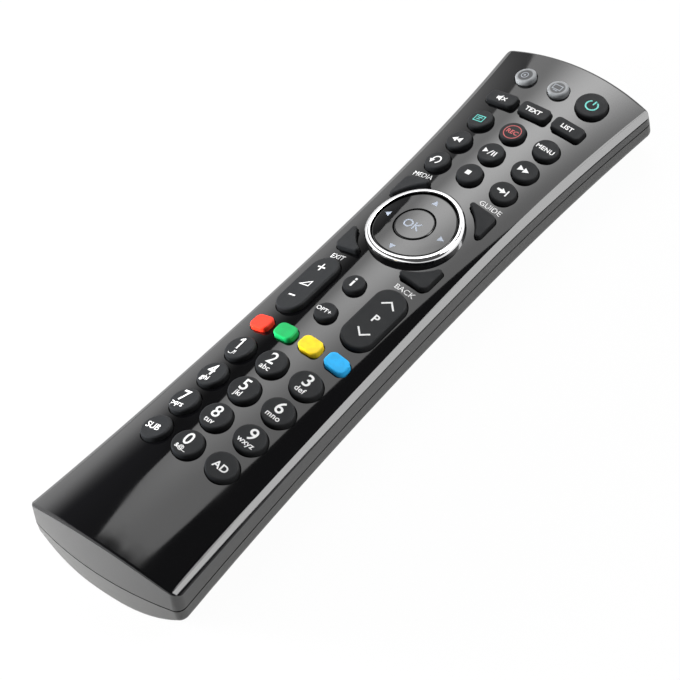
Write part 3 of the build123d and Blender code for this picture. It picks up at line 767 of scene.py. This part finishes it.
def lettering(text, height, weight):
    """Faces of a word in the built-in font, grown all round by a weight, about its own middle."""
    words = bpy.data.curves.new("lettering", "FONT")
    words.body = text
    words.size = (height - 2 * weight) / capital_share
    words.bevel_depth = weight
    words.bevel_resolution = 0
    words.resolution_u = 5
    words.space_character = 1.0 + 2.4 * weight / words.size
    carrier = added("lettering", words)
    graph = bpy.context.evaluated_depsgraph_get()
    mesh = bpy.data.meshes.new_from_object(carrier.evaluated_get(graph))
    places = [vertex.co.copy() for vertex in mesh.vertices]
    faces = [[(places[v].x, places[v].y) for v in face.vertices] for face in mesh.polygons
             if face.normal.z > 0.1]
    bpy.data.objects.remove(carrier)
    bpy.data.curves.remove(words)
    bpy.data.meshes.remove(mesh)
    xs = [place.x for place in places]
    ys = [place.y for place in places]
    middle_x, middle_y = (min(xs) + max(xs)) / 2, (min(ys) + max(ys)) / 2
    return shifted(faces, -middle_x, -middle_y)


def print_on(piece_name, node, faces, look, tone):
    """Lays flat faces, given in millimetres of the part's frame, on a node's upper surface."""
    surface = nodes[node].data
    tree = BVHTree.FromPolygons([vertex.co for vertex in surface.vertices],
                                [polygon.vertices for polygon in surface.polygons])
    made = bmesh.new()
    for face in faces:
        made.faces.new([made.verts.new((point[0] * mm, point[1] * mm, 0.0)) for point in face])
    bmesh.ops.remove_doubles(made, verts=made.verts, dist=weld_distance)
    bmesh.ops.recalc_face_normals(made, faces=made.faces)
    for face in made.faces:
        if face.normal.z < 0:
            face.normal_flip()
    copied = bmesh.ops.extrude_face_region(made, geom=made.faces[:], use_keep_orig=True)["geom"]
    raised = {item for item in copied if isinstance(item, bmesh.types.BMVert)}
    for vertex in made.verts:
        spot, _, _, _ = tree.ray_cast(Vector((vertex.co.x, vertex.co.y, search_height)), Vector((0, 0, -1)))
        if spot is None:
            raise ValueError(f"{piece_name} reaches past {node}")
        vertex.co.z = spot.z + (look.ink if vertex in raised else -look.root)
    bmesh.ops.recalc_face_normals(made, faces=made.faces)
    mesh = bpy.data.meshes.new(piece_name)
    made.to_mesh(mesh)
    made.free()
    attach(added(piece_name, mesh, tone.material), body_of[node])


class REMOTE_OT_legends(bpy.types.Operator):
    """Prints the digits, words and signs on the keys and the top shell"""
    bl_idname = "remote.legends"
    bl_label = "Legends"

    def execute(self, context):
        look = context.scene.remote_legends
        inks = {tone: ink(tone + "_ink", getattr(look, tone))
                for tone in ("white", "teal", "red", "pale", "grey")}
        for node, marks in legends.items():
            middle = middle_of(node)
            groups = {}
            for what, x, y, tone, *size in marks:
                faces = lettering(what, *size) if size else what
                groups.setdefault(tone, []).extend(shifted(faces, middle.x + x, middle.y + y))
            for tone, faces in groups.items():
                print_on("legend_" + node, node, faces, look, inks[tone])
        middle = middle_of("direction_pad")
        for word, x, y in shell_words:
            faces = lettering(word, shell_word_height, shell_word_weight)
            faces = shifted(faces, middle.x + x, middle.y + y)
            print_on("legend_shell_" + word.lower(), "upper_shell", faces, look, inks["white"])
        return {"FINISHED"}


# Inside: board, cells, springs and screws

# The board's contacts, and the foot and the top of the keypad's domes, as radii
contact_radius = 2.2
dome_top, dome_foot = 2.4, 3.4

# A cell's bare cap, where its pale band ends, and its bare rim at the flat end
cap_length, band_end, rim_length = 1.6, 9.0, 0.6

# Steps along one turn of a spring, and sides of its wire
turn_steps, wire_sides = 28, 8


def moulded(name, tone, roughness, grain_width, depth):
    """Plain moulded plastic or resin with a little grain."""
    paint = Paint(name, ior=1.48)
    place = paint.place()
    grain = paint.noise(place, grain_width, 3.0, 0.6)
    return paint.set(
        base_color=paint.blend(grain, darker(tone, 0.8), darker(tone, 1.2)),
        roughness=paint.uneven(grain, roughness - 0.06, roughness + 0.06),
        normal=paint.bump(grain, depth, 0.6))


def laminate(look):
    """Solder mask over copper tracks, with dark carbon contacts where the keys press."""
    paint = Paint("circuit_laminate", ior=1.5)
    place = paint.place()
    tracks = paint.node("TexBrick", {"offset": 0.5, "squash": 1.0}, {
        "Vector": place, "Scale": 0.22, "Mortar Size": 0.035, "Mortar Smooth": 0.0}, "Fac")
    weave = paint.noise(place, 0.4, 2.0)
    copper = paint.blend(0.5, look.board, (0.10, 0.30, 0.08))
    tone = paint.blend(tracks, look.board, copper)
    pads = reduce(add, [reach < contact_radius
                        for reach in paint.around(place, middles("key_rubber", *coloured))])
    fingers = paint.node("TexWave", {"wave_type": "BANDS", "bands_direction": "X"},
                         {"Vector": place, "Scale": 0.55}, "Fac")
    contact = paint.blend(fingers > 0.5, (0.012, 0.012, 0.013), (0.35, 0.25, 0.08))
    return paint.set(
        base_color=paint.blend(pads, tone, contact),
        roughness=paint.uneven(weave, 0.28, 0.4),
        normal=paint.bump(tracks + weave * 0.1, 0.035 * mm, 0.6))


def keypad_sheet():
    """Grey silicone with a raised dome under every key."""
    paint = Paint("keypad_silicone", ior=1.43)
    place = paint.place()
    domes = reduce(add, [paint.ease(reach, dome_top, dome_foot, 1.0, 0.0)
                         for reach in paint.around(place, middles("key_rubber", *coloured, "key_clear"))])
    grain = paint.noise(place, 0.5, 3.0)
    tone = paint.blend(grain, (0.28, 0.29, 0.30), (0.34, 0.35, 0.36))
    return paint.set(
        base_color=paint.blend(domes * 0.5, tone, (0.42, 0.43, 0.44)),
        roughness=paint.uneven(grain, 0.5, 0.62),
        normal=paint.bump(domes + grain * 0.05, 0.3 * mm, 0.7))


class REMOTE_OT_electronics(bpy.types.Operator):
    """Finishes the keypad sheet, the board and what is soldered to it"""
    bl_idname = "remote.electronics"
    bl_label = "Electronics"

    def execute(self, context):
        look = context.scene.remote_inside
        dress("board", laminate(look))
        dress("membrane", keypad_sheet())
        dress("chip", moulded("chip_epoxy", (0.022, 0.022, 0.023), 0.5, 0.2, 0.02 * mm))
        dress("amber", moulded("resonator_dip", (0.62, 0.22, 0.02), 0.22, 1.2, 0.02 * mm))
        dress("led_tinted", moulded("tinted_lens", (0.10, 0.06, 0.16), 0.12, 1.5, 0.004 * mm))
        dress("led_white", moulded("clear_lens", (0.72, 0.72, 0.66), 0.18, 0.8, 0.004 * mm))
        dress("can", metal("capacitor_can", (0.72, 0.72, 0.73), 0.22, 0.25, "z"))
        return {"FINISHED"}


def cell_jacket(look, plus_y, minus_y):
    """A plain printed jacket with a pale band at the positive end and bare steel at both ends."""
    paint = Paint("cell_jacket", ior=1.5)
    place = paint.place()
    _, y, _ = paint.axes(place)
    direction = 1.0 if plus_y > minus_y else -1.0
    from_plus = (plus_y / mm - y) * direction
    band = (from_plus > cap_length) * (from_plus < band_end)
    bare = (from_plus < cap_length) + (from_plus > abs(plus_y - minus_y) / mm - rim_length)
    scuff = paint.noise(place, 1.3, 4.0, 0.6)
    tone = paint.blend(paint.ease(scuff, 0.3, 0.75), look.jacket, darker(look.jacket, 1.25))
    tone = paint.blend(band, tone, look.jacket_band)
    return paint.set(
        base_color=paint.blend(bare, tone, (0.62, 0.62, 0.62)),
        metallic=bare,
        roughness=paint.uneven(scuff, 0.24, 0.36),
        normal=paint.bump(scuff, 0.01 * mm, 0.4))


def wound_wire(name, start, stop, look, material):
    """A conical spring wound from start to stop, as one closed tube."""
    turns, wire = look.turns, look.wire
    start, stop = Vector(start), Vector(stop)
    axis = (stop - start).normalized()
    across = axis.orthogonal().normalized()
    upward = axis.cross(across)
    reach = (stop - start).length - wire
    steps = turns * turn_steps
    centres = []
    for step in range(steps + 1):
        share_of = step / steps
        rise = wire / 2 + reach * min(max((share_of * (turns + 1) - 0.5) / turns, 0.0), 1.0)
        radius = look.spring_foot + (look.spring_tip - look.spring_foot) * share_of
        angle = 2 * pi * turns * share_of
        centres.append(start + axis * rise + (across * cos(angle) + upward * sin(angle)) * radius)
    made = bmesh.new()
    loops = []
    for index, centre in enumerate(centres):
        ahead = centres[min(index + 1, steps)] - centres[max(index - 1, 0)]
        outward = (centre - start) - axis * (centre - start).dot(axis)
        outward.normalize()
        side = ahead.normalized().cross(outward).normalized()
        angles = [2 * pi * k / wire_sides for k in range(wire_sides)]
        loops.append([made.verts.new(centre + (outward * cos(angle) + side * sin(angle)) * wire / 2)
                      for angle in angles])
    for first, second in zip(loops, loops[1:]):
        for k in range(wire_sides):
            after = (k + 1) % wire_sides
            made.faces.new((first[k], first[after], second[after], second[k]))
    made.faces.new(loops[0][::-1])
    made.faces.new(loops[-1])
    bmesh.ops.recalc_face_normals(made, faces=made.faces)
    mesh = bpy.data.meshes.new(name)
    made.to_mesh(mesh)
    made.free()
    mesh.shade_smooth()
    return added(name, mesh, material)


def cell_ends(node, plate_y):
    """Where a cell's flat end and its positive end lie; the spring's plate is behind the flat end."""
    low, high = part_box(node)
    if abs(low.y - plate_y) < abs(high.y - plate_y):
        return low.y, high.y
    return high.y, low.y


class REMOTE_OT_cells(bpy.types.Operator):
    """Finishes the cells and their plates, and winds the two contact springs"""
    bl_idname = "remote.cells"
    bl_label = "Cells and springs"

    def execute(self, context):
        look = context.scene.remote_inside
        steel = metal("nickel_steel", (0.62, 0.61, 0.59), 0.22, 0.3, "x")
        dress("steel", steel)
        springs_low, springs_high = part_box("contact_springs")
        for side, plate_y in (("left", springs_low.y), ("right", springs_high.y)):
            cell = "battery_" + side
            flat_end, plus_end = cell_ends(cell, plate_y)
            coat(cell, cell_jacket(look, plus_end, flat_end))
            low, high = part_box(cell)
            middle = (low + high) / 2
            spring = wound_wire("contact_spring_" + side, (middle.x, plate_y, middle.z),
                                (middle.x, flat_end, middle.z), look, steel.material)
            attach(spring, body_of["contact_springs"])
            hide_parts("contact_springs")
        return {"FINISHED"}


# The studio

# The overhead card's corners from above, its height, and where its glow is full and how far it fades
card_corners = ((-1.36, 1.3), (-1.31, 1.05), (-1.12, 0.77), (-0.97, 0.57), (-0.9, 0.45), (-0.74, 0.365),
                (-0.68, 0.338), (-0.57, 0.321), (-0.316, 0.291), (-0.15, 0.288), (-0.09, 0.293),
                (-0.05, 0.304), (0.0, 0.335), (0.08, 0.41), (0.11, 0.5), (0.105, 0.6), (0.08, 0.67),
                (0.0, 0.72), (-0.06, 0.77), (-0.13, 0.81), (-0.15, 0.86), (-0.1, 1.3))
card_height = 1.0
card_middle = (-0.5, 0.88)
card_fade = 0.6

# The side card's corners, as azimuth and elevation in degrees, and how far off it stands
side_card_corners = ((38, 25), (62, 25), (62, 54), (38, 54))
side_card_distance = 1.2

# The small lamp beside the foot, and the point it aims at
foot_lamp_size = 0.12
foot_lamp_place = (-0.26, -0.26, 0.04)
foot_lamp_aim = (0, -0.1, 0)

# The room's pale lower part: how it rises towards the head and the foot, and between which heights it
# turns dark; and half the floor's side
rise_share = 0.97
foot_share = -0.7
pale_top, dark_foot = -0.27, 0.12
floor_reach = 4.0

# The camera's place, its turn in degrees, and its shift in pixels of a picture this wide
camera_place = (0.405261, -0.332244, 0.586968)
camera_turn = (40.9315, 9.5437, 40.5752)
camera_shift = (0.2, -0.4)
picture_width = 680


def glowing(name, strength):
    """A lamp surface of even brightness."""
    return Paint(name, base_color=(0.0, 0.0, 0.0), emission_color=(1.0, 1.0, 1.0),
                 emission_strength=strength, specular_ior_level=0.0, roughness=1.0)


def sheet(name, corners, paint):
    """One flat face through the corners."""
    mesh = bpy.data.meshes.new(name)
    mesh.from_pydata(corners, [], [range(len(corners))])
    return added(name, mesh, paint.material)


def lamp_card(name, corners, paint):
    """A flat card that lights the object and shows in its gloss, but not to the camera."""
    card = sheet(name, corners, paint)
    card.visible_camera = False
    card.visible_shadow = False


def direction(azimuth, elevation):
    """A direction by its angle from +Y towards +X and its height, in degrees."""
    a, e = radians(azimuth), radians(elevation)
    return Vector((sin(a) * cos(e), cos(a) * cos(e), sin(e)))


class REMOTE_OT_studio(bpy.types.Operator):
    """Builds the white floor, the room, the lamps and the camera"""
    bl_idname = "remote.studio"
    bl_label = "Studio"

    def execute(self, context):
        look = context.scene.remote_studio
        scene = context.scene
        scene.view_settings.view_transform = "Standard"
        self.floor(look)
        self.room(scene, look)
        self.lamps(look)
        self.camera(scene, look)
        return {"FINISHED"}

    def floor(self, look):
        """White where it is looked at, with a little of the object's shadow."""
        paint = Paint("white_floor", base_color=(0.8, 0.8, 0.8), roughness=0.9)
        rays = paint.node("LightPath", output="Is Camera Ray")
        seen = paint.maths("MAXIMUM", rays, rays.beside("Is Glossy Ray"))
        seen = paint.maths("MAXIMUM", seen, rays.beside("Is Transmission Ray"))
        white = paint.node("Emission", {}, {"Color": (1.0, 1.0, 1.0), "Strength": 1.0})
        mixed = paint.node("MixShader", {}, {
            0: seen * (1.0 - look.floor_shadow), 1: Signal(paint, paint.shader.outputs[0]), 2: white})
        paint.tree.links.new(mixed.socket, paint.tree.nodes["Material Output"].inputs["Surface"])
        corners = [(x * floor_reach, y * floor_reach, 0) for x, y in ((-1, -1), (1, -1), (1, 1), (-1, 1))]
        sheet("floor", corners, paint)

    def room(self, scene, look):
        """Pale low down and dark above for the object, and white for the camera."""
        world = bpy.data.worlds.new("room")
        world.use_nodes = True
        scene.world = world
        air = Paint("room", tree=world.node_tree)
        x, y, z = air.axes(air.node("TexCoord", output="Generated"))
        height = z - rise_share * air.maths("MAXIMUM", y, (x + y) * foot_share)
        lit = air.ease(height, pale_top, dark_foot, look.horizon, look.ceiling)
        camera = air.node("LightPath", output="Is Camera Ray")
        tone = air.blend(camera, air.node("CombineColor", {}, {0: lit, 1: lit, 2: lit}), (1.0, 1.0, 1.0))
        air.join(tone, world.node_tree.nodes["Background"].inputs["Color"])

    def lamps(self, look):
        """The overhead card, the card beside the head and the lamp beside the foot."""
        overhead = glowing("overhead_glow", look.overhead)
        place = overhead.node("TexCoord", output="Object")
        reach = overhead.distance(overhead.shifted(place, *card_middle, card_height))
        level = overhead.ease(reach, 0.0, card_fade, 1.0, look.overhead_edge / look.overhead)
        overhead.set(emission_color=overhead.node("CombineColor", {}, {0: level, 1: level, 2: level}))
        lamp_card("overhead_card", [(x, y, card_height) for x, y in card_corners], overhead)
        side = glowing("side_glow", look.side)
        corners = [direction(*corner) * side_card_distance for corner in side_card_corners]
        lamp_card("side_card", corners, side)
        lamp = bpy.data.lights.new("foot_lamp", "AREA")
        lamp.size = foot_lamp_size
        lamp.energy = look.foot
        lamp_object = added("foot_lamp", lamp)
        lamp_object.location = foot_lamp_place
        aim = Vector(foot_lamp_aim) - lamp_object.location
        lamp_object.rotation_euler = aim.to_track_quat("-Z", "Y").to_euler()
        lamp_object.visible_glossy = False

    def camera(self, scene, look):
        """Sees the remote as the photograph does."""
        lens = bpy.data.cameras.new("camera")
        lens.lens = look.lens
        lens.shift_x, lens.shift_y = [pixels / picture_width for pixels in camera_shift]
        camera = added("camera", lens)
        camera.location = camera_place
        camera.rotation_euler = [radians(angle) for angle in camera_turn]
        scene.camera = camera


class REMOTE_PT_sidebar(bpy.types.Panel):
    """Lists the pieces of the remote control and their sizes and colours"""
    bl_label = "Television remote control"
    bl_idname = "REMOTE_PT_sidebar"
    bl_space_type = "VIEW_3D"
    bl_region_type = "UI"
    bl_category = "Remote"

    def draw(self, context):
        for group, steps in (("remote_plastics", ("remote.shells", "remote.direction_pad")),
                             ("remote_rubber", ("remote.keys",)),
                             ("remote_legends", ("remote.legends",)),
                             ("remote_inside", ("remote.electronics", "remote.cells")),
                             ("remote_studio", ("remote.studio",))):
            box = self.layout.box()
            look = getattr(context.scene, group)
            for name in look.__annotations__:
                box.prop(look, name)
            for step in steps:
                box.operator(step)


looks = {
    "remote_plastics": REMOTE_PG_plastics,
    "remote_rubber": REMOTE_PG_rubber,
    "remote_legends": REMOTE_PG_legends,
    "remote_inside": REMOTE_PG_inside,
    "remote_studio": REMOTE_PG_studio,
}
classes = (*looks.values(), REMOTE_OT_shells, REMOTE_OT_keys, REMOTE_OT_direction_pad, REMOTE_OT_legends,
           REMOTE_OT_electronics, REMOTE_OT_cells, REMOTE_OT_studio, REMOTE_PT_sidebar)


def register():
    """Adds the classes to Blender and the sizes and colours to its scenes."""
    for cls in classes:
        bpy.utils.register_class(cls)
    for name, group in looks.items():
        setattr(bpy.types.Scene, name, bpy.props.PointerProperty(type=group))


def unregister():
    """Takes back what register() added."""
    for name in looks:
        delattr(bpy.types.Scene, name)
    for cls in reversed(classes):
        bpy.utils.unregister_class(cls)


def main():
    """Dresses the part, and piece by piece."""
    register()
    for step in (bpy.ops.remote.shells, bpy.ops.remote.keys, bpy.ops.remote.direction_pad,
                 bpy.ops.remote.legends, bpy.ops.remote.electronics, bpy.ops.remote.cells,
                 bpy.ops.remote.studio):
        step()


if __name__ == "__main__":
    main()
